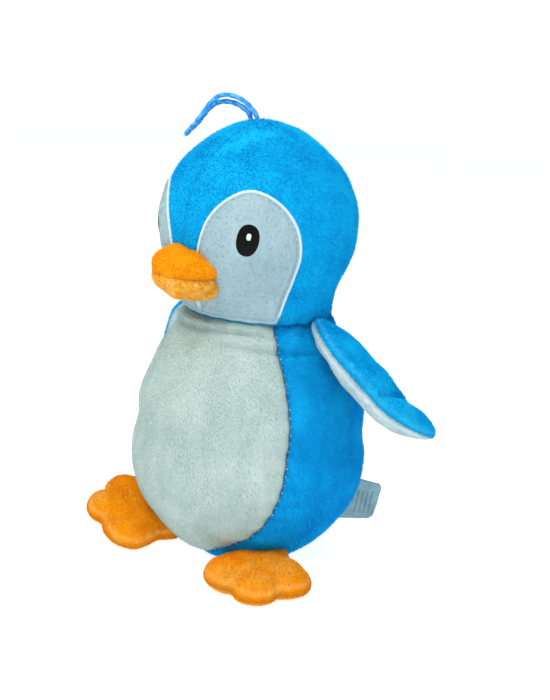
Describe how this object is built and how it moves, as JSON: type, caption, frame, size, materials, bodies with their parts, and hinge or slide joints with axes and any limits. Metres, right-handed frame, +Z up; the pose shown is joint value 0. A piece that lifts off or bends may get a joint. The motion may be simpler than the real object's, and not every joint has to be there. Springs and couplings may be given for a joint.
{
  "type": "plush penguin toy",
  "caption": "Stuffed toy penguin with a nodding and turning head, lifting wings, flexing lobed feet, a hanging loop on the crown and a folded care label.",
  "frame": {"origin": "centre of the flat base that the toy stands on", "axes": "+Z up, -Y is the way the toy faces, +X is the toy's own left side"},
  "size_m": [0.2029, 0.1357, 0.2463],
  "materials": {
    "blue_plush": "short pile, soft sheen",
    "white_plush": "short pile",
    "face_plush": "short smooth pile",
    "orange_plush": "short pile",
    "beak_plush": "short pile",
    "eye_thread": "satin embroidery",
    "glint_thread": "satin embroidery",
    "stuffing": "loose polyester fibre",
    "loop_cord": "braided cord",
    "label_tape": "woven tape"
  },
  "bodies": {
    "torso": {"belly_panel": "white_plush", "side_panel_left": "blue_plush", "side_panel_right": "blue_plush", "back_panel": "blue_plush", "base_panel": "blue_plush", "body_stuffing": "stuffing"},
    "neck": {"neck_stuffing": "stuffing"},
    "head": {"hood_left": "blue_plush", "hood_right": "blue_plush", "head_stuffing": "stuffing", "face_patch_left": "face_plush", "face_patch_right": "face_plush", "eye_left": "eye_thread", "eye_right": "eye_thread", "eye_glint_left": "glint_thread", "eye_glint_right": "glint_thread", "beak_upper": "beak_plush", "beak_lower": "orange_plush", "beak_stuffing": "stuffing", "hang_loop": "loop_cord"},
    "wing_left": {"wing_left_outer": "blue_plush", "wing_left_inner": "white_plush", "wing_left_stuffing": "stuffing"},
    "wing_right": {"wing_right_outer": "blue_plush", "wing_right_inner": "white_plush", "wing_right_stuffing": "stuffing"},
    "foot_left": {"foot_left_top": "orange_plush", "foot_left_sole": "orange_plush", "foot_left_stuffing": "stuffing"},
    "foot_right": {"foot_right_top": "orange_plush", "foot_right_sole": "orange_plush", "foot_right_stuffing": "stuffing"},
    "label": {"care_label": "label_tape"}
  },
  "joints": [
    {"name": "head_turn", "type": "hinge", "parent": "torso", "child": "neck", "pos_m": [0, 0, 0.11], "axis": [0, 0, 1], "range_deg": [-25, 25], "stiffness_Nm_per_rad": 0.6},
    {"name": "head_nod", "type": "hinge", "parent": "neck", "child": "head", "pos_m": [0, 0, 0.11], "axis": [1, 0, 0], "range_deg": [-12, 12], "stiffness_Nm_per_rad": 0.8},
    {"name": "wing_left_lift", "type": "hinge", "parent": "torso", "child": "wing_left", "pos_m": [0.05152, 0.00541, 0.1265], "axis": [0.1219, -0.9925, 0], "range_deg": [-10, 50], "stiffness_Nm_per_rad": 0.25},
    {"name": "wing_right_lift", "type": "hinge", "parent": "torso", "child": "wing_right", "pos_m": [-0.04999, 0.01433, 0.126], "axis": [0.2756, 0.9613, 0], "range_deg": [-3, 70], "stiffness_Nm_per_rad": 0.25},
    {"name": "foot_left_flex", "type": "hinge", "parent": "torso", "child": "foot_left", "pos_m": [0.04235, -0.0275, 0.00545], "axis": [-0.766, -0.6428, 0], "range_deg": [-20, 14], "stiffness_Nm_per_rad": 0.25},
    {"name": "foot_right_flex", "type": "hinge", "parent": "torso", "child": "foot_right", "pos_m": [-0.03394, -0.04045, 0.009], "axis": [-0.7753, 0.554, 0.3033], "range_deg": [-20, 4], "stiffness_Nm_per_rad": 0.25},
    {"name": "label_swing", "type": "hinge", "parent": "torso", "child": "label", "pos_m": [0.0396, 0.0396, 0.0265], "axis": [0.3466, 0.3466, 0.8716], "range_deg": [-15, 15], "stiffness_Nm_per_rad": 0.005}
  ]
}
